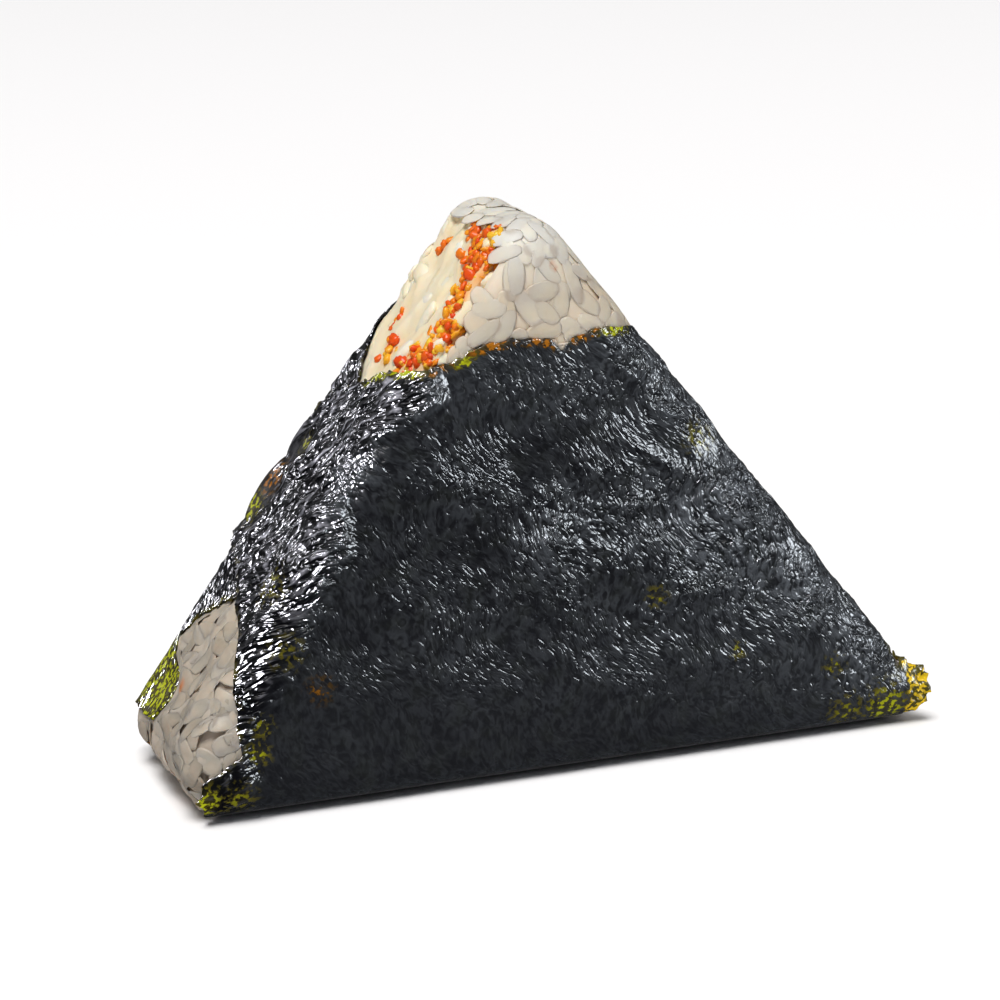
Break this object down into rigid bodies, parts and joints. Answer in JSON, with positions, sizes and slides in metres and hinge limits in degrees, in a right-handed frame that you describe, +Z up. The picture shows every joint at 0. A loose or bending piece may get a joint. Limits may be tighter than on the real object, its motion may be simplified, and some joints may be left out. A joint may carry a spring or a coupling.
{
  "type": "onigiri rice ball",
  "caption": "Triangular onigiri standing on its base: pressed rice with a creamy salad filling in its left side, wrapped in a dark crinkled nori sheet with the tip and bottom corners left bare",
  "frame": {"origin": "middle of the base, at the level of the table", "axes": "+X along the base to the right as the front is seen, +Y from front to back, +Z up"},
  "size_m": [0.0944, 0.0326, 0.0674],
  "materials": {
    "cooked_rice": "cooked short-grain rice, pressed, slightly glossy grains, warm off-white",
    "salad_filling": "creamy mixed salad with pale shreds and small orange-red bits",
    "nori_sheet": "roasted seaweed sheet, near black with fine glossy crinkles"
  },
  "bodies": {
    "root": {"rice": "cooked_rice", "filling": "salad_filling", "nori": "nori_sheet"}
  },
  "joints": []
}
